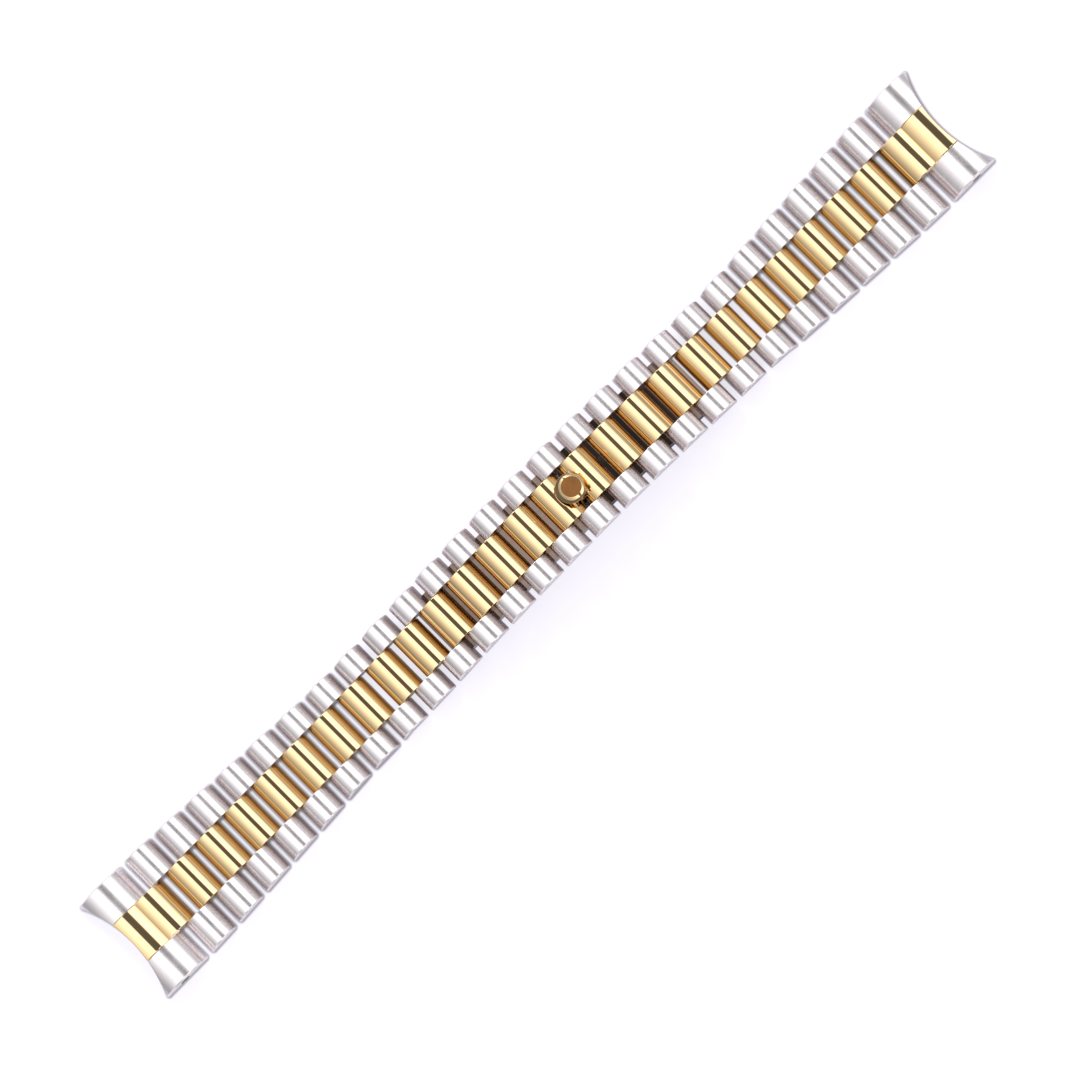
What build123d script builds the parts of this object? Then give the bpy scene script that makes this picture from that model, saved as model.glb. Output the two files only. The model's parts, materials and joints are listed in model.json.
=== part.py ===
from build123d import *
from math import asin, atan2, cos, degrees, pi, radians, sin, sqrt
import os

# Link watch bracelet with a concealed folding clasp, closed and lying top side up.
# X runs along the strap, Y across it and Z up. The origin is under the middle of the whole strap,
# on the surface that it lies on. Lengths are in millimetres and angles in degrees.
# Every centre link is hinged to the outer pair on each side of it, half a pitch along, by a pin.
# A place along the strap is counted in pitches, so that centre link 1 is at 1 and outer pair 1 at 0.5.

# Strap
lug_width = 20.0
clasp_width = 16.0
centre_width = 7.8
row_gap = 0.08
pitch = 6.4
centre_count = 25
taper_from_share = 0.4
taper_to_share = 6.0

# Section of a link: a half round on a low straight wall
link_chord = 5.5
link_height = 2.8
link_wall = 0.45

# Pins: they and their holes are hidden, so a pin is round only where it bears, and a hole has flat sides
pin_sides = 8
pin_radius = 0.5
pin_height = 1.1
pin_clearance = 0.02
pin_root = 1.0

# End links: distances run from the hinge pin towards the watch case
case_radius = 22.0
end_reach = 11.25
cheek_start = 2.15
cheek_crest = 6.95
cheek_height = 3.5
cheek_radius = 5.2
near_hump_crest = 2.63
near_hump_height = 3.16
near_hump_radius = 3.75
far_hump_crest = 7.27
far_hump_height = 3.6
far_hump_radius = 5.0
inlay_floor = 2.3
inlay_gap = 0.02
spring_bar_radius = 0.9
spring_bar_height = 1.25
spring_bar_place = 7.2

# Arch of the closed clasp, through the pins of the links on it
arch_radius = 100.0
first_clasp_link = 10
last_rail_link = 14
last_clasp_link = 18
settling_segments = 6

# Clasp plates: each layer is given from the links down
blade_width = 11.5
plate_thickness = 0.6
plate_seat_gap = 0.01
fold_blade_thickness = 1.0
lower_blade_thickness = 0.8
layer_gap = 0.15
plate_end_inset = 1.5
blade_end_inset = 0.96
split_gap = 0.26
rail_wall = 0.7

# Fold hinges of the clasp, with their places along the strap as shares of the pitch
upper_fold_share = 15.3
lower_fold_share = 18.35
fold_pin_radius = 0.35
fold_pin_clearance = 0.02
fold_knuckle_radius = 0.6
ear_gap = 0.15
ear_thickness = 1.0
ear_inset = 0.1

# Snap studs that hold the cover plate down
stud_radius = 0.7
stud_clearance = 0.05
stud_share = 14.78
stud_spread = 6.4
stud_top_gap = 0.1

# Release lever, its disc and its spring: measured from the pin that it turns on
lever_width = 4.3
lever_slot_gap = 0.1
lever_knuckle_radius = 1.0
lever_head_radius = 1.25
lever_head_gap = 0.05
lever_notch = 0.25
lever_neck_width = 1.5
lever_neck_breadth = 2.6
heel_reach = 2.55
heel_width = 0.9
disc_radius = 2.07
disc_base_radius = 2.4
disc_shift = 0.3
disc_height = 0.95
disc_clear_height = 0.35
disc_face_radius = 1.62
disc_bevel = 0.25
spring_thickness = 0.25
spring_width = 1.9
spring_length = 5.2
spring_gap = 0.04

half_pitch = pitch / 2
quarter_pitch = pitch / 4
outer_inside = centre_width / 2 + row_gap
fold_blade_width = blade_width - 2 * (ear_inset + ear_thickness + ear_gap)

# Depths of the layers below the line through the pins
arch_step = 2 * degrees(asin(quarter_pitch / arch_radius))
plate_top = arch_radius * cos(radians(arch_step / 2)) - pin_height - plate_seat_gap
plate_bottom = plate_top - plate_thickness
fold_blade_top = plate_bottom - layer_gap
fold_blade_bottom = fold_blade_top - fold_blade_thickness
lower_blade_top = fold_blade_bottom - layer_gap
lower_blade_bottom = lower_blade_top - lower_blade_thickness
fold_axis_radius = (fold_blade_top + fold_blade_bottom) / 2

# Pins are counted from 0 at the left end link. The links from the first to the last of these lie on the arch.
first_arch_pin = 2 * first_clasp_link - 2
last_arch_pin = 2 * last_clasp_link + 1
pin_count = 2 * (centre_count + 1)
arch_middle = (first_arch_pin + last_arch_pin) / 2
arch_half_angle = (last_arch_pin - first_arch_pin) / 2 * arch_step
blade_half_angle = arch_half_angle - degrees(blade_end_inset / arch_radius)
plate_half_angle = arch_half_angle - degrees(plate_end_inset / arch_radius)
arch_centre_z = -lower_blade_bottom * cos(radians(blade_half_angle))


def arm_slopes(fall):
    """Slopes of the segments that bring an arm down from the arch by fall, each less than the one before."""
    low = 0
    high = 90
    while high - low > 1e-9:
        steepest = (low + high) / 2
        slopes = [steepest * (1 - i / settling_segments) for i in range(settling_segments)]
        if sum(half_pitch * sin(radians(s)) for s in slopes) < fall:
            low = steepest
        else:
            high = steepest
    return slopes


def strap_pins():
    """Centres of all hinge pins as (x, z), from the left end link to the right one."""
    arch = []
    for n in range(first_arch_pin, last_arch_pin + 1):
        a = radians((n - arch_middle) * arch_step)
        arch.append((arch_radius * sin(a), arch_centre_z + arch_radius * cos(a)))
    slopes = arm_slopes(arch[0][1] - pin_height)
    arms = []
    for count in (first_arch_pin, pin_count - 1 - last_arch_pin):
        x, z = arch[-1]
        arm = []
        for i in range(count):
            slope = radians(slopes[i]) if i < len(slopes) else 0
            x += half_pitch * cos(slope)
            z -= half_pitch * sin(slope)
            arm.append((x, z))
        arms.append(arm)
    left, right = arms
    pins = [(-x, z) for x, z in reversed(left)] + arch + right
    middle = (pins[0][0] + pins[-1][0]) / 2
    return [(x - middle, z) for x, z in pins], -middle


pins, arch_centre_x = strap_pins()


def segment_slope(n):
    """Slope of the segment from pin n to pin n + 1, rising towards +X."""
    (x0, z0), (x1, z1) = pins[n], pins[n + 1]
    return degrees(atan2(z1 - z0, x1 - x0))


def segment_seat(n):
    """Frame of the link between pins n and n + 1: its origin is on the link's flat base, midway."""
    (x0, z0), (x1, z1) = pins[n], pins[n + 1]
    middle = Location(((x0 + x1) / 2, 0, (z0 + z1) / 2), (0, -segment_slope(n), 0))
    return middle * Pos(0, 0, -pin_height)


def centre_seat(k):
    return segment_seat(2 * k - 1)


def outer_seat(j):
    return segment_seat(2 * j - 2)


def arch_angle(place):
    """Angle round the arch of a place that is counted in pitches, from the arch's top."""
    return ((place - 0.25) * 2 - arch_middle) * arch_step


def arch_point(radius, angle):
    a = radians(angle)
    return (arch_centre_x + radius * sin(a), arch_centre_z + radius * cos(a))


def arch_seat(radius, angle):
    """Frame on the arch with X along it and Z away from its centre."""
    x, z = arch_point(radius, angle)
    return Location((x, 0, z), (0, angle, 0))


def side_face(*edges):
    """Face in the XZ plane from edges drawn as (x, z)."""
    return Plane.XZ * make_face(Curve() + list(edges))


def cross_rod(radius, length, x=0, z=0):
    """Round rod across the strap."""
    return Pos(x, 0, z) * Cylinder(radius, length, rotation=(90, 0, 0))


def cross_pin(radius, length, x=0, z=0, bearing=-1):
    """Pin across the strap: round on the side that bears when the strap is pulled, with flats round the rest."""
    flats = Rot(0, 0, 180 / pin_sides) * RegularPolygon(radius, pin_sides)
    land = Circle(radius) & Pos(bearing * radius, 0) * Rectangle(2 * radius, 2 * radius * sin(pi / pin_sides))
    return Pos(x, 0, z) * extrude(Plane.XZ * (flats + land), length / 2, both=True)


def cross_hole(radius, length, x=0, z=0):
    """Hole across the strap, with its flats at its radius."""
    section = RegularPolygon(radius, pin_sides, major_radius=False)
    return Pos(x, 0, z) * extrude(Plane.XZ * section, length / 2, both=True)


def arch_plate(bottom, top, start, end, width):
    """Curved plate between two radii and two angles of the arch."""
    middle = (start + end) / 2
    face = side_face(
        ThreePointArc(arch_point(top, start), arch_point(top, middle), arch_point(top, end)),
        Line(arch_point(top, end), arch_point(bottom, end)),
        ThreePointArc(arch_point(bottom, end), arch_point(bottom, middle), arch_point(bottom, start)),
        Line(arch_point(bottom, start), arch_point(top, start)),
    )
    return extrude(face, width / 2, both=True)


def both_sides(piece):
    """The piece and its mirror image across the strap."""
    return piece + mirror(piece, Plane.XZ)


def half_round(width):
    """Half-round bar of the links' section, across the strap."""
    half = link_chord / 2
    face = side_face(
        ThreePointArc((-half, link_wall), (0, link_height), (half, link_wall)),
        Polyline((half, link_wall), (half, 0), (-half, 0), (-half, link_wall)),
    )
    return extrude(face, width / 2, both=True)


def centre_link(bore_sides):
    """Centre link with a bore on each side named: -1 is towards the left end link and 1 the right."""
    link = half_round(centre_width)
    for side in bore_sides:
        link -= cross_hole(pin_radius + pin_clearance, 2 * centre_width, side * quarter_pitch, pin_height)
    return link


def strap_half_width(place):
    """Half the strap's width at a place, counted from the nearer end link."""
    from_end = min(place, centre_count + 1 - place)
    taper = (taper_to_share - from_end) / (taper_to_share - taper_from_share)
    return (clasp_width + (lug_width - clasp_width) * min(max(taper, 0), 1)) / 2


def outer_pair(j, held_sides):
    """Both outer links of pair j, with a pin between them on each side named."""
    half = link_chord / 2
    share = half / pitch
    near_edge = strap_half_width(j - 0.5 - share)
    far_edge = strap_half_width(j - 0.5 + share)
    plan = make_face(
        Polyline((-half, outer_inside), (half, outer_inside), (half, far_edge), (-half, near_edge), close=True)
    )
    pair = both_sides(half_round(2 * lug_width) & extrude(plan, link_height))
    for side in held_sides:
        pair += cross_pin(pin_radius, 2 * (outer_inside + pin_root), side * quarter_pitch, pin_height, -side)
    return pair


def end_plan(inside, outside, length_from):
    """Plan of an end link's band between two half widths, cut by the round case. The left end link points to -X."""
    tip = sqrt(case_radius**2 - (lug_width / 2) ** 2)
    case_x = -end_reach - tip
    band = Pos(-end_reach, (inside + outside) / 2) * Rectangle(2 * (end_reach - length_from), outside - inside)
    return band - Pos(case_x, 0) * Circle(case_radius)


def hump_height(crest, height, radius, along):
    """Height of a round hump's top at a distance along the end link."""
    return max(height - radius + sqrt(max(radius**2 - (along - crest) ** 2, 0)), link_wall)


def cheek_section():
    """Side view of the steel cheeks: one broad hump from the links to the case."""
    near_rise = hump_height(cheek_crest, cheek_height, cheek_radius, cheek_start)
    far_rise = hump_height(cheek_crest, cheek_height, cheek_radius, end_reach)
    return side_face(
        ThreePointArc((-cheek_start, near_rise), (-cheek_crest, cheek_height), (-end_reach, far_rise)),
        Polyline((-end_reach, far_rise), (-end_reach, 0), (-cheek_start, 0), (-cheek_start, near_rise)),
    )


def end_link_body():
    """Steel body of the left end link, with its hinge pin's centre at the origin's X."""
    section = extrude(cheek_section(), lug_width, both=True)
    cheek = section & extrude(end_plan(outer_inside, lug_width / 2, cheek_start), 2 * link_height)
    bridge_plan = end_plan(-outer_inside, outer_inside, cheek_start + row_gap)
    bridge = extrude(bridge_plan, inlay_floor)
    body = both_sides(cheek) + bridge
    return body - cross_rod(spring_bar_radius, 2 * lug_width, -spring_bar_place, spring_bar_height)


def end_link_inlay():
    """Gold centre of the left end link: two humps, with the near one hinged as a centre link is."""
    valley = (near_hump_crest + far_hump_crest) / 2 - (far_hump_radius - near_hump_radius) / 2
    near_centre = near_hump_height - near_hump_radius
    start = near_hump_crest - sqrt(near_hump_radius**2 - near_centre**2)
    valley_height = hump_height(near_hump_crest, near_hump_height, near_hump_radius, valley)
    far_valley_height = hump_height(far_hump_crest, far_hump_height, far_hump_radius, valley)
    end_height = hump_height(far_hump_crest, far_hump_height, far_hump_radius, end_reach)
    floor = inlay_floor + inlay_gap
    face = side_face(
        ThreePointArc((-start, 0), (-near_hump_crest, near_hump_height), (-valley, valley_height)),
        Line((-valley, valley_height), (-valley, far_valley_height)),
        ThreePointArc((-valley, far_valley_height), (-far_hump_crest, far_hump_height), (-end_reach, end_height)),
        Polyline((-end_reach, end_height), (-end_reach, floor), (-cheek_start, floor), (-cheek_start, 0), (-start, 0)),
    )
    inlay = extrude(face, centre_width / 2, both=True)
    inlay &= extrude(end_plan(-centre_width / 2, centre_width / 2, start - link_chord), 2 * link_height)
    return inlay - cross_hole(pin_radius + pin_clearance, 2 * centre_width, 0, pin_height)


def fold_ears(carrier, seat, direction):
    """Two ears for a fold pin at seat, reaching from the carrier plate on the side of direction."""
    inside = fold_blade_width / 2 + ear_gap
    reach = fold_blade_thickness / 2 + layer_gap + plate_thickness / 2
    ear = Pos(0, inside + ear_thickness / 2, 0) * (
        Cylinder(fold_knuckle_radius, ear_thickness, rotation=(90, 0, 0))
        + Pos(0, 0, direction * reach / 2) * Box(2 * fold_knuckle_radius, ear_thickness, reach)
    )
    plate = carrier + seat * both_sides(ear)
    return plate - seat * cross_pin(fold_pin_radius, 2 * blade_width)


upper_fold_seat = arch_seat(fold_axis_radius, arch_angle(upper_fold_share))
lower_fold_seat = arch_seat(fold_axis_radius, arch_angle(lower_fold_share))


def lift_tilt():
    """Angle from upright at which the cover plate starts to lift: square to the line through both fold pins."""
    upper = upper_fold_seat.position
    lower = lower_fold_seat.position
    return degrees(atan2(upper.Z - lower.Z, lower.X - upper.X))


def stud_rod(radius, bottom, top):
    """Rods on both sides for the studs or their eyes, between two radii of the arch."""
    x, z = arch_point(plate_bottom, arch_angle(stud_share))
    frame = Location((x, stud_spread / 2, z), (0, lift_tilt(), 0))
    rod = frame * Pos(0, 0, bottom - plate_bottom) * extrude(RegularPolygon(radius, pin_sides), top - bottom)
    return both_sides(rod)


def snap_studs():
    """Studs riveted through the lower blade, just short of the top of the cover plate's eyes."""
    return stud_rod(stud_radius, lower_blade_bottom + stud_top_gap, plate_top - stud_top_gap)


def lower_blade():
    """Long blade that lies on the wrist, with ears for the lower fold pin at its right end."""
    blade = arch_plate(lower_blade_bottom, lower_blade_top, -blade_half_angle, blade_half_angle, blade_width)
    return fold_ears(blade, lower_fold_seat, -1) - snap_studs()


def link_rail():
    """Channel on the lower blade that carries the left clasp links: a top, two side walls and an end wall."""
    end = arch_angle(last_rail_link + link_chord / 2 / pitch)
    rail = arch_plate(lower_blade_top + plate_seat_gap, plate_top, -plate_half_angle, end, blade_width)
    hollow_start = degrees(rail_wall / arch_radius) - plate_half_angle
    hollow_end = end + degrees(rail_wall / arch_radius)
    hollow_bottom = lower_blade_top - rail_wall
    hollow = arch_plate(hollow_bottom, plate_bottom, hollow_start, hollow_end, blade_width - 2 * rail_wall)
    return rail - hollow


def cover_plate():
    """Plate that carries the right clasp links, with ears for the upper fold pin and room for the lever."""
    start = arch_angle(last_rail_link + (link_chord / 2 + split_gap) / pitch)
    plate = arch_plate(plate_bottom, plate_top, start, plate_half_angle, blade_width)
    plate = fold_ears(plate, upper_fold_seat, 1)
    plate -= stud_rod((stud_radius + stud_clearance) / cos(pi / pin_sides), lower_blade_top, arch_radius)
    lever_room = lever_width + 2 * lever_slot_gap
    heel_room = 2 * (lever_knuckle_radius + 2 * lever_slot_gap)
    plate -= lever_seat * Pos(-heel_room / 2, 0, -pin_height) * Box(2 * heel_room, lever_room, 4 * plate_thickness)
    pocket_bottom = plate_top - spring_thickness - spring_gap
    pocket_end = lever_angle + degrees((spring_length + spring_gap) / arch_radius)
    return plate - arch_plate(pocket_bottom, arch_radius, lever_angle, pocket_end, spring_width + 2 * spring_gap)


def fold_blade():
    """Blade between the cover plate and the lower blade, with a knuckle at each end."""
    start = arch_angle(upper_fold_share)
    end = arch_angle(lower_fold_share)
    blade = arch_plate(fold_blade_bottom, fold_blade_top, start, end, fold_blade_width)
    for seat in (upper_fold_seat, lower_fold_seat):
        blade += seat * cross_rod(fold_knuckle_radius, fold_blade_width)
    for seat in (upper_fold_seat, lower_fold_seat):
        blade -= seat * cross_hole(fold_pin_radius + fold_pin_clearance, 2 * fold_blade_width)
    return blade


def fold_pin(seat):
    return seat * cross_pin(fold_pin_radius, fold_blade_width + 2 * (ear_gap + ear_thickness))


lever_pin = 2 * last_rail_link + 1
lever_slope = segment_slope(lever_pin)
lever_seat = Location((pins[lever_pin][0], 0, pins[lever_pin][1]), (0, -lever_slope, 0))
lever_angle = (lever_pin - arch_middle) * arch_step
disc_centre = -quarter_pitch
disc_bottom = link_height - pin_height + disc_clear_height


def release_lever():
    """Lever on the pin of the first cover link: a head flush with that link, a neck up to the disc, two heels."""
    upper_half = Pos(0, 0, lever_head_radius / 2) * Box(2 * lever_head_radius, lever_width, lever_head_radius)
    head = cross_rod(lever_head_radius, lever_width) & upper_half
    lever = cross_rod(lever_knuckle_radius, lever_width) + head
    lever &= Pos(quarter_pitch, 0, -pin_height) * half_round(lever_width)
    neck_top = disc_centre + lever_neck_width / 2
    neck = side_face(
        Polyline(
            (0, 0),
            (0, lever_knuckle_radius),
            (neck_top, disc_bottom),
            (neck_top - lever_neck_width, disc_bottom),
            (disc_centre - lever_slot_gap, lever_knuckle_radius),
            (-lever_knuckle_radius / 2, 0),
            close=True,
        )
    )
    lever += extrude(neck, lever_neck_breadth / 2, both=True)
    heel_y = (lever_width - heel_width) / 2
    heel = Pos(heel_width / 2, heel_y, -heel_reach / 2) * Box(heel_width, heel_width, heel_reach)
    lever += both_sides(heel)
    return lever - cross_hole(pin_radius + pin_clearance, 2 * lever_width)


def lever_disc():
    """Round disc with a bevelled rim round a bare face, on a wider base that reaches further back."""
    upright = (Align.CENTER, Align.CENTER, Align.MIN)
    base = Cylinder(disc_base_radius, disc_height / 2, align=upright)
    rim = Cylinder(disc_radius, disc_height / 2 - disc_bevel, align=upright)
    bevel = Pos(0, 0, disc_height / 2 - disc_bevel) * Cone(disc_radius, disc_face_radius, disc_bevel, align=upright)
    disc = base + Pos(disc_shift, 0, disc_height / 2) * (rim + bevel)
    return Pos(disc_centre, 0, disc_bottom) * disc


def lever_spring():
    """Leaf under the lever's knuckle, held between the cover plate and the first links on it."""
    top = plate_top - spring_gap / 2
    end = lever_angle + degrees(spring_length / arch_radius)
    return arch_plate(top - spring_thickness, top, lever_angle, end, spring_width)


def slotted_centre_link():
    """First centre link on the cover plate, with a slot for the lever at its left end."""
    head_room = lever_head_radius + lever_head_gap
    opening = Box(link_chord, lever_width + 2 * lever_notch, 2 * link_height)
    above = Pos(-quarter_pitch - link_chord / 2, 0, pin_height + link_height) * opening
    below = Pos(head_room - quarter_pitch - link_chord / 2, 0, pin_height - link_height) * opening
    slot = above + below + cross_rod(head_room, lever_width + 2 * lever_notch, -quarter_pitch, pin_height)
    return centre_link((-1,)) - slot


def group(pieces):
    """Separate solids of one node."""
    return Compound([solid for piece in pieces for solid in piece.solids()])


def build_nodes():
    """Every node's name and shape. Only the first and last rows on the clasp and the lever need pins there."""
    nodes = {}
    hinged_link = centre_link((-1, 1))
    fixed_link = centre_link(())
    for k in range(1, centre_count + 1):
        link = hinged_link
        if first_clasp_link <= k <= last_clasp_link:
            link = fixed_link
        if k == last_rail_link + 1:
            link = slotted_centre_link()
        nodes[f"centre_link_{k:02d}"] = centre_seat(k) * link
    held_sides = {first_clasp_link: (-1,), last_rail_link + 1: (1,), last_clasp_link + 1: (1,)}
    rail_rows = range(first_clasp_link, last_rail_link + 1)
    cover_rows = range(last_rail_link + 1, last_clasp_link + 2)
    for j in range(1, centre_count + 2):
        if j not in rail_rows and j not in cover_rows:
            nodes[f"outer_links_{j:02d}"] = outer_seat(j) * outer_pair(j, (-1, 1))
    nodes["rail_outer_links"] = group(outer_seat(j) * outer_pair(j, held_sides.get(j, ())) for j in rail_rows)
    nodes["cover_outer_links"] = group(outer_seat(j) * outer_pair(j, held_sides.get(j, ())) for j in cover_rows)
    nodes["lower_blade"] = lower_blade()
    nodes["link_rail"] = link_rail()
    nodes["snap_studs"] = group([snap_studs()])
    nodes["lower_fold_pin"] = fold_pin(lower_fold_seat)
    nodes["fold_blade"] = fold_blade()
    nodes["cover_plate"] = cover_plate()
    nodes["upper_fold_pin"] = fold_pin(upper_fold_seat)
    nodes["lever_spring"] = lever_spring()
    nodes["release_lever"] = lever_seat * release_lever()
    nodes["lever_disc"] = lever_seat * lever_disc()
    left_end = Pos(pins[0][0], 0, 0)
    right_end = Pos(pins[-1][0], 0, 0)
    for name, piece in (("body", end_link_body()), ("inlay", end_link_inlay())):
        nodes[f"left_end_link_{name}"] = left_end * piece
        nodes[f"right_end_link_{name}"] = right_end * mirror(piece, Plane.YZ)
    return nodes


os.makedirs("parts", exist_ok=True)
for node, shape in build_nodes().items():
    export_step(shape, f"parts/{node}.step")
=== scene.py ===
import json
from math import asin, cos, pi, radians, sin, sqrt, tan

import bmesh
import bpy
from mathutils import Matrix, Vector
from mathutils.geometry import tessellate_polygon


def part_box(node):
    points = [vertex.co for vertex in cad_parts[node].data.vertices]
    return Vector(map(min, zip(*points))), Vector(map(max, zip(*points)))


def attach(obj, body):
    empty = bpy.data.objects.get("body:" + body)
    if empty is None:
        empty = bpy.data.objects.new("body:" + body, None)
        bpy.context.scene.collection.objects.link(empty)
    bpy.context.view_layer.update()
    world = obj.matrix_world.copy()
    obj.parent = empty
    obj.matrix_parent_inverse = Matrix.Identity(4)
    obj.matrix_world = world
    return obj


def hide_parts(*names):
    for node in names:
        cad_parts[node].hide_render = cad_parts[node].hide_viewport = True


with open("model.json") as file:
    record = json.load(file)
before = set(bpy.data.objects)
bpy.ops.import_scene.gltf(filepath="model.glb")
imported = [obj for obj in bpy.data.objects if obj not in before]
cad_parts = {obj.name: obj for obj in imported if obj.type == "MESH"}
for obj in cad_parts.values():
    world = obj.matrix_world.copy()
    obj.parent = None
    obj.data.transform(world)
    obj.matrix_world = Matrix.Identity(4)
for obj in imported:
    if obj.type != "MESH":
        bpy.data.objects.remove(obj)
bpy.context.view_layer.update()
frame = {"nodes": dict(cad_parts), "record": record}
nodes = frame["nodes"]
bodies = frame["record"]["behaviour"]["bodies"]
node_body = {node: body for body, held in bodies.items() for node in held}

# The strap lies along X with its links' round tops up. Lengths are in metres, written in millimetres.
mm = 0.001
micron = 0.001 * mm

# Rows of the strap
centre_width = 7.8 * mm
row_gap = 0.08 * mm
quarter_pitch = 1.6 * mm
outer_inside = centre_width / 2 + row_gap
slotted_link = "centre_link_15"
lever_slot_width = 4.8 * mm
lever_head_room = 1.3 * mm

# Section of a link
link_chord = 5.5 * mm
link_height = 2.8 * mm
link_wall = 0.45 * mm
base_corner = 0.09 * mm
edge_round = 0.06 * mm
edge_round_steps = 3
outer_bevel = 0.2 * mm
sharp_edge = radians(28)

# Painted shade low on the links' flanks, as heights over their bases
painted_shade_top = 2.15 * mm
painted_shade_foot = 1.8 * mm
painted_shade_fade = 0.35 * mm
painted_shade_color = (0.12, 0.04, 0.0, 1)

# Pins and bores
pin_radius = 0.49 * mm
bore_radius = 0.52 * mm
pin_height = 1.1 * mm
pin_sides = 24

# End links: distances run from the hinge pin towards the watch case
case_radius = 22.0 * mm
lug_half_width = 10.0 * mm
end_reach = 11.25 * mm
cheek_start = 2.15 * mm
cheek_hump = (-6.95 * mm, 3.5 * mm, 5.2 * mm)
near_hump = (-2.63 * mm, 3.16 * mm, 3.75 * mm)
far_hump = (-7.27 * mm, 3.6 * mm, 5.0 * mm)
valley = -4.325 * mm
inlay_floor = 2.32 * mm
bridge_height = 2.3 * mm
spring_bar_radius = 0.9 * mm
spring_bar_place = -7.2 * mm
spring_bar_height = 1.25 * mm
cheek_round = 0.1 * mm

# Disc on the release lever
disc_base_radius = 2.4 * mm
disc_radius = 2.07 * mm
disc_shift = 0.3 * mm
disc_height = 0.94 * mm
disc_face_radius = 1.62 * mm
disc_bevel = 0.25 * mm
disc_sides = 72


# Shader groups


def new_group(name, inputs, outputs):
    """Empty shader group with float, colour or vector sockets, given as {name: (kind, value)}."""
    group = bpy.data.node_groups.new(name, "ShaderNodeTree")
    for socket_name, (kind, value) in inputs.items():
        socket = group.interface.new_socket(socket_name, in_out="INPUT", socket_type=f"NodeSocket{kind}")
        if value is not None:
            socket.default_value = value
    for socket_name, kind in outputs.items():
        group.interface.new_socket(socket_name, in_out="OUTPUT", socket_type=f"NodeSocket{kind}")
    return group, group.nodes.new("NodeGroupInput"), group.nodes.new("NodeGroupOutput")


def math_node(tree, operation, first, second):
    """Math node on two values, each of them a socket or a number."""
    node = tree.nodes.new("ShaderNodeMath")
    node.operation = operation
    for socket, value in zip(node.inputs, (first, second)):
        if isinstance(value, bpy.types.NodeSocket):
            tree.links.new(value, socket)
        else:
            socket.default_value = value
    return node.outputs["Value"]


def drawn_grain_group():
    """Grain left by finishing across the strap: fine lines along Y."""
    inputs = {"Vector": ("Vector", None), "Lines": ("Float", 9000.0), "Length": ("Float", 300.0)}
    group, given, out = new_group("drawn_grain", inputs, {"Height": "Float"})
    split = group.nodes.new("ShaderNodeSeparateXYZ")
    group.links.new(given.outputs["Vector"], split.inputs[0])
    joined = group.nodes.new("ShaderNodeCombineXYZ")
    for axis, scale in (("X", "Lines"), ("Y", "Length"), ("Z", "Lines")):
        scaled = math_node(group, "MULTIPLY", split.outputs[axis], given.outputs[scale])
        group.links.new(scaled, joined.inputs[axis])
    noise = group.nodes.new("ShaderNodeTexNoise")
    noise.inputs["Scale"].default_value = 1.0
    noise.inputs["Detail"].default_value = 3.0
    noise.inputs["Roughness"].default_value = 0.6
    group.links.new(joined.outputs[0], noise.inputs["Vector"])
    group.links.new(noise.outputs["Fac"], out.inputs["Height"])
    return group


def handling_marks_group():
    """Patches where handling has left the polish a little duller."""
    inputs = {
        "Vector": ("Vector", None),
        "Patches": ("Float", 350.0),
        "Polished": ("Float", 0.1),
        "Dulled": ("Float", 0.2),
    }
    group, given, out = new_group("handling_marks", inputs, {"Roughness": "Float"})
    noise = group.nodes.new("ShaderNodeTexNoise")
    noise.inputs["Detail"].default_value = 4.0
    group.links.new(given.outputs["Vector"], noise.inputs["Vector"])
    group.links.new(given.outputs["Patches"], noise.inputs["Scale"])
    spread = group.nodes.new("ShaderNodeMapRange")
    spread.inputs["From Min"].default_value = 0.35
    spread.inputs["From Max"].default_value = 0.7
    group.links.new(noise.outputs["Fac"], spread.inputs["Value"])
    group.links.new(given.outputs["Polished"], spread.inputs["To Min"])
    group.links.new(given.outputs["Dulled"], spread.inputs["To Max"])
    group.links.new(spread.outputs["Result"], out.inputs["Roughness"])
    return group


def rubbed_edge_group():
    """Colour that turns to the bare rubbed metal along raised edges."""
    inputs = {
        "Vector": ("Vector", None),
        "Color": ("Color", (0.8, 0.8, 0.8, 1)),
        "Rubbed": ("Color", (0.9, 0.9, 0.9, 1)),
        "Amount": ("Float", 0.5),
    }
    group, given, out = new_group("rubbed_edge", inputs, {"Color": "Color"})
    geometry = group.nodes.new("ShaderNodeNewGeometry")
    raised = group.nodes.new("ShaderNodeMapRange")
    raised.inputs["From Min"].default_value = 0.52
    raised.inputs["From Max"].default_value = 0.62
    group.links.new(geometry.outputs["Pointiness"], raised.inputs["Value"])
    noise = group.nodes.new("ShaderNodeTexNoise")
    noise.inputs["Scale"].default_value = 900.0
    group.links.new(given.outputs["Vector"], noise.inputs["Vector"])
    broken = math_node(group, "MULTIPLY", raised.outputs["Result"], noise.outputs["Fac"])
    share = math_node(group, "MULTIPLY", broken, given.outputs["Amount"])
    mix = group.nodes.new("ShaderNodeMix")
    mix.data_type = "RGBA"
    group.links.new(share, mix.inputs["Factor"])
    group.links.new(given.outputs["Color"], mix.inputs["A"])
    group.links.new(given.outputs["Rubbed"], mix.inputs["B"])
    group.links.new(mix.outputs["Result"], out.inputs["Color"])
    return group


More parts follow.
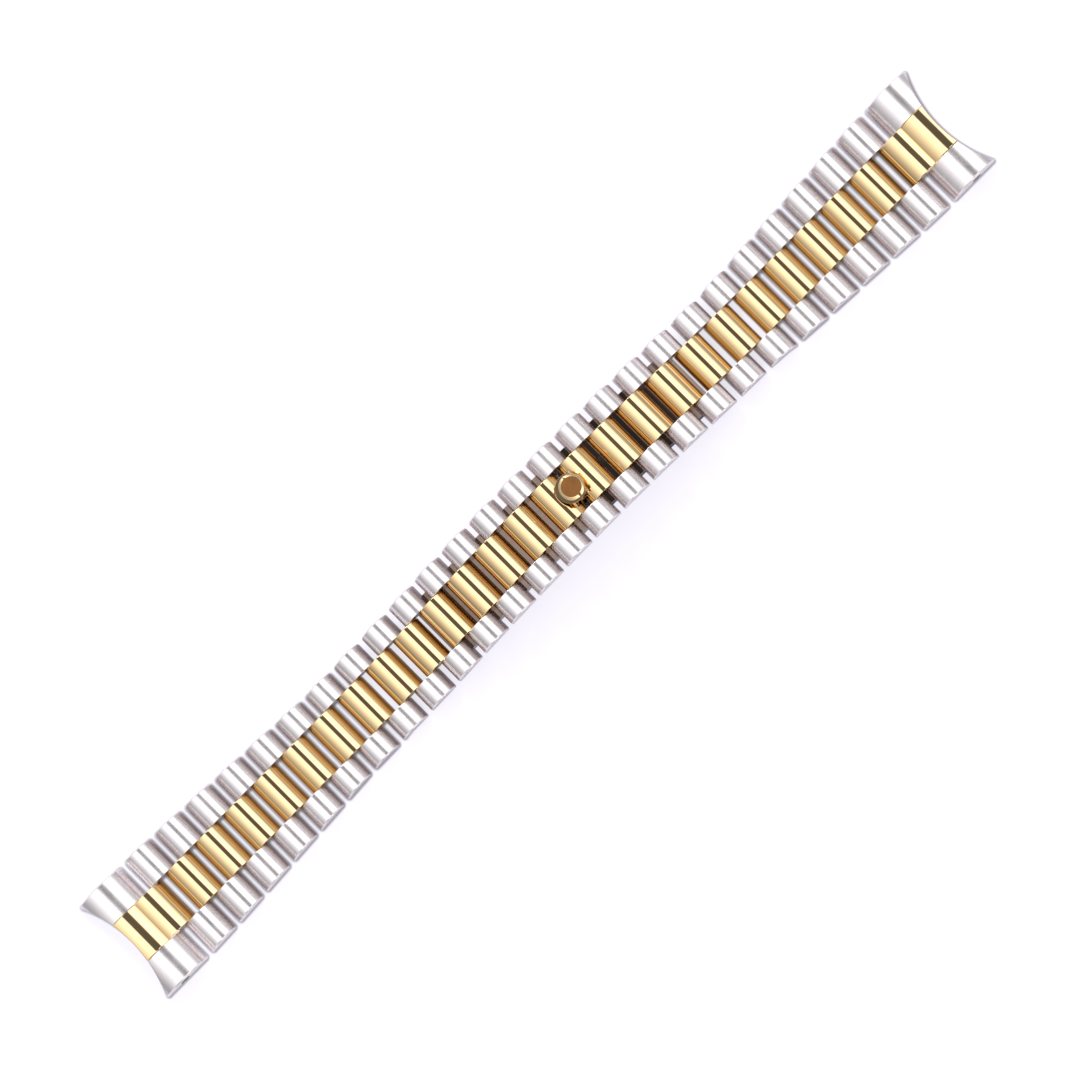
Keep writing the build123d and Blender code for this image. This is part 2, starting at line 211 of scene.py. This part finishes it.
def painted_gap_shade_group():
    """Colour darkened by painted shade low in the gaps between links."""
    inputs = {"Color": ("Color", (0.8, 0.8, 0.8, 1)), "Shade": ("Float", 0.0), "Amount": ("Float", 0.5)}
    group, given, out = new_group("painted_gap_shade", inputs, {"Color": "Color"})
    share = math_node(group, "MULTIPLY", given.outputs["Shade"], given.outputs["Amount"])
    mix = group.nodes.new("ShaderNodeMix")
    mix.data_type = "RGBA"
    mix.blend_type = "MULTIPLY"
    mix.inputs["B"].default_value = painted_shade_color
    group.links.new(share, mix.inputs["Factor"])
    group.links.new(given.outputs["Color"], mix.inputs["A"])
    group.links.new(mix.outputs["Result"], out.inputs["Color"])
    return group


def painted_shade_on_flanks(tree):
    """Share of painted shade that the link's mesh gives."""
    painted_shade = tree.nodes.new("ShaderNodeAttribute")
    painted_shade.attribute_name = "painted_shade"
    return painted_shade.outputs["Fac"]


def painted_shade_on_top(tree):
    """Share of painted shade on a clasp plate: all of its upper side, which the links cover."""
    split = tree.nodes.new("ShaderNodeSeparateXYZ")
    tree.links.new(tree.nodes.new("ShaderNodeTexCoord").outputs["Normal"], split.inputs[0])
    painted_shade = tree.nodes.new("ShaderNodeMapRange")
    painted_shade.inputs["From Min"].default_value = 0.5
    painted_shade.inputs["From Max"].default_value = 0.8
    tree.links.new(split.outputs["Z"], painted_shade.inputs["Value"])
    return painted_shade.outputs["Result"]


drawn_grain = drawn_grain_group()
handling_marks = handling_marks_group()
rubbed_edge = rubbed_edge_group()
painted_gap_shade = painted_gap_shade_group()


# Materials


def placed_group(tree, group, vector, values):
    """Group in a material, with its vector linked and its values set."""
    node = tree.nodes.new("ShaderNodeGroup")
    node.node_tree = group
    tree.links.new(vector, node.inputs["Vector"])
    for name, value in values.items():
        node.inputs[name].default_value = value
    return node


def metal(
    name, color, rubbed, polished, dulled, lines, depth,
    length=300.0, painted_shade=0.0, painted_shade_place=painted_shade_on_flanks,
):
    """Bare metal with a drawn grain of the given lines per metre and depth, and rubbed edges. Its colour can
    be darkened by painted shade.
    """
    material = bpy.data.materials.new(name)
    material.use_nodes = True
    tree = material.node_tree
    shader = tree.nodes["Principled BSDF"]
    shader.inputs["Metallic"].default_value = 1.0
    place = tree.nodes.new("ShaderNodeTexCoord").outputs["Object"]
    edges = placed_group(tree, rubbed_edge, place, {"Color": (*color, 1), "Rubbed": (*rubbed, 1)})
    if painted_shade:
        shade_node = tree.nodes.new("ShaderNodeGroup")
        shade_node.node_tree = painted_gap_shade
        shade_node.inputs["Amount"].default_value = painted_shade
        tree.links.new(painted_shade_place(tree), shade_node.inputs["Shade"])
        tree.links.new(edges.outputs["Color"], shade_node.inputs["Color"])
        tree.links.new(shade_node.outputs["Color"], shader.inputs["Base Color"])
    else:
        tree.links.new(edges.outputs["Color"], shader.inputs["Base Color"])
    marks = placed_group(tree, handling_marks, place, {"Polished": polished, "Dulled": dulled})
    tree.links.new(marks.outputs["Roughness"], shader.inputs["Roughness"])
    grain = placed_group(tree, drawn_grain, place, {"Lines": lines, "Length": length})
    bump = tree.nodes.new("ShaderNodeBump")
    bump.inputs["Distance"].default_value = depth
    tree.links.new(grain.outputs["Height"], bump.inputs["Height"])
    tree.links.new(bump.outputs["Normal"], shader.inputs["Normal"])
    return material


gold_color = (0.95, 0.7, 0.38)
rubbed_gold = (1.0, 0.78, 0.45)
steel_color = (0.92, 0.865, 0.87)
rubbed_steel = (0.97, 0.93, 0.93)
dulled_edge = (0.22, 0.18, 0.16)
disc_face_color = (0.29, 0.13, 0.042)
blade_color = (0.7, 0.69, 0.7)
plate_color = (0.66, 0.58, 0.53)
pin_color = (0.72, 0.71, 0.7)
spring_painted_shade_color = (0.06, 0.045, 0.035)

# The links' colour is darkened low on their flanks by painted shade in the gaps.
link_gold = metal(
    "polished_link_gold", gold_color, rubbed_gold,
    0.05, 0.1, 9000.0, 0.8 * micron, painted_shade=0.5,
)
link_steel = metal(
    "drawn_link_steel", steel_color, rubbed_steel,
    0.25, 0.29, 14000.0, 0.5 * micron, painted_shade=0.48,
)
lever_gold = metal("drawn_lever_gold", gold_color, rubbed_gold, 0.14, 0.24, 12000.0, 1.0 * micron)
disc_rim_gold = metal("polished_disc_gold", gold_color, rubbed_gold, 0.08, 0.14, 9000.0, 0.8 * micron)
disc_face_gold = metal(
    "matt_disc_gold", disc_face_color, gold_color,
    0.34, 0.5, 16000.0, 1.5 * micron, 9000.0,
)
clasp_steel = metal(
    "ground_clasp_steel", blade_color, rubbed_steel,
    0.17, 0.22, 11000.0, 1.0 * micron,
)
# The clasp plates' upper sides are darkened by painted shade.
plate_steel = metal(
    "polished_plate_steel", plate_color, dulled_edge, 0.05, 0.09, 11000.0, 0.3 * micron,
    painted_shade=0.75, painted_shade_place=painted_shade_on_top,
)
pin_steel = metal("turned_pin_steel", pin_color, rubbed_steel, 0.12, 0.24, 12000.0, 0.6 * micron)
# The spring's near-black colour is painted shade.
spring_steel = metal(
    "spring_steel_dark_as_painted_shade", spring_painted_shade_color, dulled_edge,
    0.2, 0.32, 12000.0, 1.0 * micron,
)


# Outlines: closed runs of (x, z, outward x, outward z), clockwise seen from -Y


def arc(centre, radius, start, end, steps):
    """Points of an arc between two directions, which are counted from +Z towards +X."""
    points = []
    for i in range(steps + 1):
        a = start + (end - start) * i / steps
        points.append((centre[0] + radius * sin(a), centre[1] + radius * cos(a), sin(a), cos(a)))
    return points


def hump_z(hump, x, inset=0.0):
    crest, height, radius = hump
    return height - radius + sqrt((radius - inset) ** 2 - (x - crest) ** 2)


def hump_direction(hump, x, inset=0.0):
    crest, _, radius = hump
    return asin((x - crest) / (radius - inset))


def hump_arc(hump, start, end, steps):
    crest, height, radius = hump
    return arc((crest, height - radius), radius, start, end, steps)


def link_outline():
    """Half-round section of a link, on low walls with rounded feet."""
    half = link_chord / 2
    rise = link_height - link_wall
    radius = (half * half + rise * rise) / (2 * rise)
    edge = asin(half / radius)
    left_foot = arc((base_corner - half, base_corner), base_corner, -pi, -pi / 2, 3)
    right_foot = arc((half - base_corner, base_corner), base_corner, pi / 2, pi, 3)
    return left_foot + arc((0, link_height - radius), radius, -edge, edge, 44) + right_foot


def hump_outline(hump, left, right, floor):
    """Section of one hump between two walls, with its four corners rounded."""
    corner = cheek_round
    low = floor + corner
    left_top = hump_direction(hump, left + corner, corner)
    right_top = hump_direction(hump, right - corner, corner)
    outline = arc((left + corner, low), corner, -pi, -pi / 2, 2)
    outline += arc((left + corner, hump_z(hump, left + corner, corner)), corner, -pi / 2, left_top, 3)
    outline += hump_arc(hump, left_top, right_top, 40)[1:]
    outline += arc((right - corner, hump_z(hump, right - corner, corner)), corner, right_top, pi / 2, 3)[1:]
    return outline + arc((right - corner, low), corner, pi / 2, pi, 2)


def inlay_outline(left):
    """Section of the gold inlay: the far hump, a step up to the near one, and the part round the pin."""
    corner = cheek_round
    crest, height, radius = near_hump
    right = crest + sqrt(radius**2 - (height - radius) ** 2)
    left_top = hump_direction(far_hump, left + corner, corner)
    outline = arc((left + corner, inlay_floor + corner), corner, -pi, -pi / 2, 2)
    outline += arc((left + corner, hump_z(far_hump, left + corner, corner)), corner, -pi / 2, left_top, 3)
    outline += hump_arc(far_hump, left_top, hump_direction(far_hump, valley), 30)[1:]
    outline += hump_arc(near_hump, hump_direction(near_hump, valley), hump_direction(near_hump, right), 34)
    outline.append((-cheek_start, 0, 0, -1))
    outline.append((-cheek_start, inlay_floor, 0, -1))
    return outline


# Meshes


def ring(outline, inset, y):
    """Ring of points round the outline, set in by inset. Its place across the strap is y, or y(x)."""
    points = []
    for x, z, out_x, out_z in outline:
        at = x - inset * out_x
        points.append((at, y(x) if callable(y) else y, z - inset * out_z))
    return points


def rounded_ends(outline, low, high, low_round=edge_round, high_round=edge_round, flat_bevel=False):
    """Rings of a bar from low to high with rounded end edges, or a flat bevel at the high end."""
    low_at = low if callable(low) else lambda x: low
    high_at = high if callable(high) else lambda x: high
    turns = [pi / 2 * i / edge_round_steps for i in range(edge_round_steps + 1)]
    rings = []
    for a in turns:
        away = low_round * (1 - cos(a))
        rings.append(ring(outline, low_round * (1 - sin(a)), lambda x, away=away: low_at(x) + away))
    rings.append(ring(outline, 0, lambda x: low_at(x) + 2 * low_round))
    rings.append(ring(outline, 0, lambda x: high_at(x) - 2 * high_round))
    for a in reversed((turns[0], turns[-1]) if flat_bevel else turns):
        away = high_round * (1 - cos(a))
        rings.append(ring(outline, high_round * (1 - sin(a)), lambda x, away=away: high_at(x) - away))
    return rings


def skin(mesh, rings, closed=True):
    """Faces between rings of points. Returns the rows of vertices."""
    rows = [[mesh.verts.new(point) for point in points] for points in rings]
    for row, following in zip(rows, rows[1:]):
        for i in range(len(row) if closed else len(row) - 1):
            j = (i + 1) % len(row)
            mesh.faces.new((row[i], row[j], following[j], following[i]))
    return rows


def close_end(mesh, loops):
    """Flat end between an outer loop of vertices and the loops of its holes."""
    vertices = [vertex for loop in loops for vertex in loop]
    for corners in tessellate_polygon([[vertex.co for vertex in loop] for loop in loops]):
        mesh.faces.new([vertices[i] for i in corners])


def circle(x, z, radius, y, sides=pin_sides):
    """Ring of points across the strap's direction, at y or y(x)."""
    points = []
    for i in range(sides):
        a = 2 * pi * i / sides
        at = x + radius * cos(a)
        points.append((at, y(at) if callable(y) else y, z + radius * sin(a)))
    return points


def bar(mesh, rings, bores=(), low=None, high=None):
    """Closed bar through the rings, with round bores (x, z, radius) from end to end."""
    rows = skin(mesh, rings)
    tubes = [skin(mesh, [circle(*bore, low), circle(*bore, high)]) for bore in bores]
    close_end(mesh, [rows[0], *(tube[0] for tube in tubes)])
    close_end(mesh, [rows[-1], *(tube[-1] for tube in tubes)])


def rod(mesh, x, z, radius, low, high):
    bar(mesh, [circle(x, z, radius, low), circle(x, z, radius, high)])


def painted_shade_at(x, z):
    """Share of painted shade on a link's section: from the flanks' shoulders down, less at the left foot."""
    below = (painted_shade_top - z) / painted_shade_fade
    share = min(max(below, 0.0), 1.0)
    if x < 0:
        share *= 1 - min(max((painted_shade_foot - z) / painted_shade_fade, 0.0), 1.0)
    return share


def note_painted_shade(mesh, vertices_before, is_clean):
    """Notes the painted shade's share at the vertices that were added since."""
    layer = mesh.verts.layers.float["painted_shade"]
    mesh.verts.ensure_lookup_table()
    for vertex in mesh.verts[vertices_before:]:
        vertex[layer] = 0.0 if is_clean(vertex.co) else painted_shade_at(vertex.co.x, vertex.co.z)


def new_mesh():
    mesh = bmesh.new()
    mesh.verts.layers.float.new("painted_shade")
    return mesh


def new_object(name, mesh):
    """Object from the mesh, in the scene."""
    data = bpy.data.meshes.new(name)
    mesh.to_mesh(data)
    mesh.free()
    made = bpy.data.objects.new(name, data)
    bpy.context.scene.collection.objects.link(made)
    return made


def placed(mesh, vertices_before, matrix):
    """Moves the vertices that were added since to their place."""
    mesh.verts.ensure_lookup_table()
    bmesh.ops.transform(mesh, matrix=matrix, verts=mesh.verts[vertices_before:])


def made_piece(name, node, mesh, materials):
    """Object from the mesh, which stands for a CAD node and rides with its body."""
    bmesh.ops.recalc_face_normals(mesh, faces=mesh.faces)
    made = new_object(name, mesh)
    data = made.data
    for material in materials:
        data.materials.append(material)
    data.polygons.foreach_set("use_smooth", [True] * len(data.polygons))
    data.set_sharp_from_angle(angle=sharp_edge)
    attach(made, node_body[node])
    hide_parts(node)
    return made


# Places of the links, from the flat bases of the CAD nodes


def base_seats(node):
    """Frames on the flat bases of a node's links, from left to right, with Z up from the base."""
    data = nodes[node].data
    downward = [face for face in data.polygons if face.normal.z < -0.9]
    largest = max(face.area for face in downward)
    bases = [face for face in downward if face.area > largest / 3]
    bases.sort(key=lambda face: face.center.x)
    groups = [[bases[0]]]
    for face in bases[1:]:
        if face.center.x - groups[-1][0].center.x > link_chord:
            groups.append([])
        groups[-1].append(face)
    seats = []
    for group in groups:
        normal = sum((face.normal * face.area for face in group), Vector()).normalized()
        along = Vector((-normal.z, 0, normal.x))
        corners = [data.vertices[i].co for face in group for i in face.vertices]
        reaches = [corner.dot(along) for corner in corners]
        middle = (min(reaches) + max(reaches)) / 2
        height = -corners[0].dot(normal)
        origin = along * middle - normal * height
        seats.append(Matrix((
            (along.x, 0, -normal.x, origin.x),
            (0, 1, 0, 0),
            (along.z, 0, -normal.z, origin.z),
            (0, 0, 0, 1),
        )))
    return seats


def near_points(node, seat):
    """A node's vertices near one seat, in that seat's frame."""
    back = seat.inverted()
    local = [back @ vertex.co for vertex in nodes[node].data.vertices]
    reach = link_chord / 2 + row_gap
    return [p for p in local if abs(p.x) < reach and -row_gap < p.z < link_height + row_gap]


def pin_places(points):
    """Places along X at which the CAD link has a pin or bore."""
    found = []
    for x in (-quarter_pitch, quarter_pitch):
        if any((p.x - x) ** 2 + (p.z - pin_height) ** 2 < (bore_radius + row_gap) ** 2 for p in points):
            found.append(x)
    return found


# Links

link_section = link_outline()


def centre_link(node):
    seat = base_seats(node)[0]
    half = centre_width / 2
    mesh = new_mesh()
    bores = [(x, pin_height, bore_radius) for x in pin_places(near_points(node, seat))]
    bar(mesh, rounded_ends(link_section, -half, half), bores, -half, half)
    note_painted_shade(mesh, 0, lambda point: False)
    placed(mesh, 0, seat)
    made = made_piece(node + "_polished", node, mesh, [link_gold])
    if node == slotted_link:
        cut_slot(made, seat)


def cut_slot(link, seat):
    """Cuts the release lever's slot out of the link's left side, round the pin that the lever turns on."""
    mesh = bmesh.new()
    half = lever_slot_width / 2
    rod(mesh, -quarter_pitch, pin_height, lever_head_room, -half, half)
    over_pin = (-quarter_pitch, pin_height)
    beside_pin = (lever_head_room - quarter_pitch, pin_height - link_height)
    for end, bottom in (over_pin, beside_pin):
        middle = Matrix.Translation((end - link_chord / 2, 0, bottom + link_height / 2))
        size = Matrix.Diagonal((link_chord, lever_slot_width, link_height, 1))
        bmesh.ops.create_cube(mesh, size=1, matrix=middle @ size)
    placed(mesh, 0, seat)
    bmesh.ops.recalc_face_normals(mesh, faces=mesh.faces)
    cutter = new_object("slot_cutter", mesh)
    cut = link.modifiers.new("slot", "BOOLEAN")
    cut.operation = "DIFFERENCE"
    cut.solver = "EXACT"
    cut.use_self = True
    cut.object = cutter
    shown = link.evaluated_get(bpy.context.evaluated_depsgraph_get())
    cut_data = bpy.data.meshes.new_from_object(shown)
    link.modifiers.clear()
    link.data = cut_data
    bpy.data.objects.remove(cutter)


def outer_half_widths(points):
    """Half widths of an outer pair at its left and right end, from the CAD points on its base."""
    low = [p for p in points if p.z < link_wall]
    left = max(abs(p.y) for p in low if p.x < 0)
    right = max(abs(p.y) for p in low if p.x > 0)
    return left, right


def outer_pair(mesh, node, seat):
    """Both outer links of a pair, with their pins."""
    points = near_points(node, seat)
    left, right = outer_half_widths(points)
    start = len(mesh.verts)

    def outside(x):
        return (left + right) / 2 + (right - left) * x / link_chord

    for side in (-1, 1):
        rings = rounded_ends(link_section, outer_inside, outside, edge_round, outer_bevel, flat_bevel=True)
        bar(mesh, [[(x, side * y, z) for x, y, z in points] for points in rings])
    note_painted_shade(mesh, start, lambda point: abs(point.y) > outside(point.x) - outer_bevel / 2)
    for x in pin_places(points):
        rod(mesh, x, pin_height, pin_radius, -outer_inside, outer_inside)
    placed(mesh, start, seat)


def outer_links(node):
    mesh = new_mesh()
    for seat in base_seats(node):
        outer_pair(mesh, node, seat)
    made_piece(node + "_drawn", node, mesh, [link_steel])


# End links


def case_edge(y):
    """Place along the left end link of the watch case's round side."""
    return -end_reach - sqrt(case_radius**2 - lug_half_width**2) + sqrt(case_radius**2 - y**2)


def lofted(outline_at, places, low_round, high_round):
    """Rings through sections that change across the strap, with the end edges set in."""
    low, high = places[0], places[-1]
    rings = [ring(outline_at(low), low_round, low)]
    rings.append(ring(outline_at(low + low_round), 0, low + low_round))
    for y in places[1:-1]:
        rings.append(ring(outline_at(y), 0, y))
    rings.append(ring(outline_at(high - high_round), 0, high - high_round))
    rings.append(ring(outline_at(high), high_round, high))
    return rings


def spread(low, high, count):
    return [low + (high - low) * i / count for i in range(count + 1)]


def to_end(side):
    """Moves an end link built round its hinge pin, pointing to -X, to its place at one end of the strap."""
    if side < 0:
        return Matrix.Translation((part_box("left_end_link_body")[0].x + end_reach, 0, 0))
    to_right = Matrix.Translation((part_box("right_end_link_body")[1].x - end_reach, 0, 0))
    return to_right @ Matrix.Scale(-1, 4, (1, 0, 0))


def end_link_body(node, side):
    mesh = new_mesh()
    bore = (spring_bar_place, spring_bar_height, spring_bar_radius)

    def cheek_at(y):
        return hump_outline(cheek_hump, case_edge(y), -cheek_start, 0)

    for turn in (-1, 1):
        rings = lofted(cheek_at, spread(outer_inside, lug_half_width, 12), edge_round, outer_bevel)
        rings = [[(x, turn * y, z) for x, y, z in points] for points in rings]
        bar(mesh, rings, [bore], turn * outer_inside, turn * lug_half_width)
    clean_side = lug_half_width - outer_bevel / 2
    note_painted_shade(mesh, 0, lambda point: point.x < cheek_hump[0] or abs(point.y) > clean_side)

    def bridge_at(y):
        left = case_edge(y)
        right = -cheek_start - row_gap
        corner = cheek_round / 2
        outline = []
        corners = (
            (left, 0, -pi),
            (left, bridge_height, -pi / 2),
            (right, bridge_height, 0),
            (right, 0, pi / 2),
        )
        for x, z, start in corners:
            middle = (x + (corner if x == left else -corner), z + (corner if z == 0 else -corner))
            outline += arc(middle, corner, start, start + pi / 2, 1)
        return outline

    rings = lofted(bridge_at, spread(-outer_inside, outer_inside, 12), 0, 0)
    bar(mesh, rings[1:-1], [bore], -outer_inside, outer_inside)
    placed(mesh, 0, to_end(side))
    made_piece(node + "_drawn", node, mesh, [link_steel])


def end_link_inlay(node, side):
    mesh = new_mesh()
    half = centre_width / 2
    rings = lofted(lambda y: inlay_outline(case_edge(y)), spread(-half, half, 14), edge_round, edge_round)
    bar(mesh, rings, [(0, pin_height, bore_radius)], -half, half)
    note_painted_shade(mesh, 0, lambda point: point.x < valley)
    placed(mesh, 0, to_end(side))
    made_piece(node + "_polished", node, mesh, [link_gold])


# Disc of the release lever


def turned(mesh, profile, shift):
    """Turned shape from a profile of (radius, z), with its axis at x = shift."""
    rings = []
    for radius, z in profile:
        turns = [2 * pi * i / disc_sides for i in range(disc_sides)]
        rings.append([(shift + radius * cos(a), radius * sin(a), z) for a in turns])
    return skin(mesh, rings)


def release_disc():
    seat = base_seats("lever_disc")[0]
    mesh = bmesh.new()
    half = disc_height / 2
    small = edge_round / 2
    base = [(disc_base_radius, 0), (disc_base_radius, half - small), (disc_base_radius - small, half)]
    rows = turned(mesh, [*base, (disc_radius / 2, half)], 0)
    close_end(mesh, [rows[0]])
    close_end(mesh, [rows[-1]])
    bevel_foot = disc_height - disc_bevel
    rim = [
        (disc_radius, half - small),
        (disc_radius, bevel_foot - small),
        (disc_radius - small, bevel_foot),
        (disc_face_radius + small, disc_height - small / 2),
        (disc_face_radius, disc_height - small / 2),
        (disc_face_radius - small, disc_height - 2 * small),
    ]
    rows = turned(mesh, rim, disc_shift)
    close_end(mesh, [rows[0]])
    first_face = len(mesh.faces)
    close_end(mesh, [rows[-1]])
    mesh.faces.ensure_lookup_table()
    for face in mesh.faces[first_face:]:
        face.material_index = 1
    placed(mesh, 0, seat)
    made_piece("lever_disc_turned", "lever_disc", mesh, [disc_rim_gold, disc_face_gold])


# All pieces

for node in sorted(nodes):
    if node.startswith("centre_link"):
        centre_link(node)
    elif "outer_links" in node:
        outer_links(node)
for side, end in ((-1, "left"), (1, "right")):
    end_link_body(f"{end}_end_link_body", side)
    end_link_inlay(f"{end}_end_link_inlay", side)
release_disc()

kept_finishes = {
    "release_lever": lever_gold,
    "lever_spring": spring_steel,
    "lower_blade": clasp_steel,
    "link_rail": plate_steel,
    "cover_plate": plate_steel,
    "fold_blade": clasp_steel,
    "snap_studs": pin_steel,
    "lower_fold_pin": pin_steel,
    "upper_fold_pin": pin_steel,
}
for node, material in kept_finishes.items():
    for slot in nodes[node].material_slots:
        slot.material = material


# Floor, light and camera

floor_reach = 3.0
floor_drop = 0.05 * mm
contact_shade_reach = 0.5 * mm
contact_shade_depth = 2.0
clasp_half_width = 8.0 * mm
floor_color = (0.3, 0.29, 0.34, 1)
painted_contact_shade_color = (0.08, 0.07, 0.07, 1)
floor_glow_color = (0.96, 0.94, 1, 1)
floor_glow = 0.75
# Painted shade: the floor's reflected glow is dimmer under the strap.
glow_under_strap = 0.2
glow_beside_strap = 0.5


def reflected_floor(tree):
    """Painted shade in the floor's glow seen in reflections: dim under the strap and bright beside it."""
    split = tree.nodes.new("ShaderNodeSeparateXYZ")
    tree.links.new(tree.nodes.new("ShaderNodeTexCoord").outputs["Object"], split.inputs[0])
    beside = tree.nodes.new("ShaderNodeMapRange")
    beside.inputs["From Min"].default_value = clasp_half_width
    beside.inputs["From Max"].default_value = lug_half_width
    beside.inputs["To Min"].default_value = glow_under_strap
    beside.inputs["To Max"].default_value = glow_beside_strap
    tree.links.new(math_node(tree, "ABSOLUTE", split.outputs["Y"], 0.0), beside.inputs["Value"])
    return beside.outputs["Result"]


def pale_floor():
    """Plain floor that stays near white for the camera and for reflections, and keeps the strap's shadow.
    Its colour and glow darken near the strap's feet as painted contact shade.
    """
    mesh = bmesh.new()
    bmesh.ops.create_grid(mesh, x_segments=1, y_segments=1, size=floor_reach)
    floor = new_object("floor", mesh)
    floor.location.z = -floor_drop
    material = bpy.data.materials.new("pale_floor")
    material.use_nodes = True
    tree = material.node_tree
    shader = tree.nodes["Principled BSDF"]
    shader.inputs["Roughness"].default_value = 0.7
    shader.inputs["Specular IOR Level"].default_value = 0.2
    shader.inputs["Emission Color"].default_value = floor_glow_color
    path = tree.nodes.new("ShaderNodeLightPath")
    reflected = math_node(tree, "MULTIPLY", path.outputs["Is Glossy Ray"], reflected_floor(tree))
    # Painted contact shade: occlusion near the strap darkens the floor's colour and glow.
    open_sky = tree.nodes.new("ShaderNodeAmbientOcclusion")
    open_sky.samples = 8
    open_sky.inputs["Distance"].default_value = contact_shade_reach
    unshaded_share = math_node(tree, "POWER", open_sky.outputs["AO"], contact_shade_depth)
    contact_shade_mix = tree.nodes.new("ShaderNodeMix")
    contact_shade_mix.data_type = "RGBA"
    contact_shade_mix.inputs["A"].default_value = painted_contact_shade_color
    contact_shade_mix.inputs["B"].default_value = floor_color
    tree.links.new(unshaded_share, contact_shade_mix.inputs["Factor"])
    tree.links.new(contact_shade_mix.outputs["Result"], shader.inputs["Base Color"])
    glow_share = math_node(tree, "MULTIPLY", unshaded_share, floor_glow)
    seen = math_node(tree, "MULTIPLY", path.outputs["Is Camera Ray"], glow_share)
    glow = math_node(tree, "ADD", seen, reflected)
    tree.links.new(glow, shader.inputs["Emission Strength"])
    floor.data.materials.append(material)


# Brightness of the tent by its lean from upright towards +X, in degrees
tent_levels = [
    (-110, 0.12),
    (-82, 0.15),
    (-66, 0.25),
    (-56, 0.33),
    (-45, 0.45),
    (-32, 0.62),
    (-20, 0.8),
    (-3, 0.85),
    (0, 0.06),
    (24, 0.06),
    (28, 0.95),
    (50, 0.95),
    (58, 0.7),
    (68, 0.25),
    (85, 0.22),
    (110, 0.15),
]
tent_strength = 2.0


def studio_light():
    """Light tent: bright overhead, dim low past the strap's ends, with a dark gap past upright."""
    world = bpy.data.worlds.new("light_tent")
    bpy.context.scene.world = world
    world.use_nodes = True
    tree = world.node_tree
    background = tree.nodes["Background"]
    split = tree.nodes.new("ShaderNodeSeparateXYZ")
    tree.links.new(tree.nodes.new("ShaderNodeTexCoord").outputs["Generated"], split.inputs[0])
    lean = math_node(tree, "ARCTAN2", split.outputs["X"], split.outputs["Z"])
    place = tree.nodes.new("ShaderNodeMapRange")
    place.inputs["From Min"].default_value = -pi
    place.inputs["From Max"].default_value = pi
    tree.links.new(lean, place.inputs["Value"])
    ramp = tree.nodes.new("ShaderNodeValToRGB")
    tree.links.new(place.outputs["Result"], ramp.inputs["Fac"])
    stops = ramp.color_ramp.elements
    for lean_degrees, level in tent_levels:
        place_on_ramp = (lean_degrees + 180) / 360
        stop = stops.new(place_on_ramp)
        stop.color = (level, level, level * 1.02, 1)
    stops.remove(stops[0])
    stops.remove(stops[len(stops) - 1])
    tree.links.new(ramp.outputs["Color"], background.inputs["Color"])
    background.inputs["Strength"].default_value = tent_strength


def soft_lamp(name, place, target, size, power):
    data = bpy.data.lights.new(name, "AREA")
    data.shape = "DISK"
    data.size = size
    data.energy = power
    lamp = bpy.data.objects.new(name, data)
    lamp.location = place
    lamp.rotation_mode = "QUATERNION"
    lamp.rotation_quaternion = (Vector(target) - Vector(place)).to_track_quat("-Z", "Y")
    bpy.context.scene.collection.objects.link(lamp)


lamp_place = (0.15, 0.45, 0.5)
lamp_size = 0.25
lamp_power = 1.6

# Camera over the strap, which runs from the lower left of the picture to the upper right
camera_target = Vector((0.08, -1.29, 3.0)) * mm
camera_distance = 2000 * mm
camera_lean = radians(3.36)
camera_tilt = radians(8.02)
strap_turn = radians(45.387)
camera_lens = 426.8


def photo_camera():
    data = bpy.data.cameras.new("photo_camera")
    data.lens = camera_lens
    data.clip_start = 0.1
    camera = bpy.data.objects.new("photo_camera", data)
    back = Vector((tan(camera_lean), -tan(camera_tilt), 1)).normalized()
    along = (Vector((1, 0, 0)) - back * back.x).normalized()
    across = back.cross(along)
    right = along * cos(strap_turn) - across * sin(strap_turn)
    up = along * sin(strap_turn) + across * cos(strap_turn)
    turn = Matrix((right, up, back)).transposed()
    camera.matrix_world = Matrix.Translation(camera_target + back * camera_distance) @ turn.to_4x4()
    bpy.context.scene.collection.objects.link(camera)
    bpy.context.scene.camera = camera


pale_floor()
studio_light()
soft_lamp("window_lamp", lamp_place, (0, 0, 0), lamp_size, lamp_power)
photo_camera()
bpy.context.scene.view_settings.view_transform = "Standard"
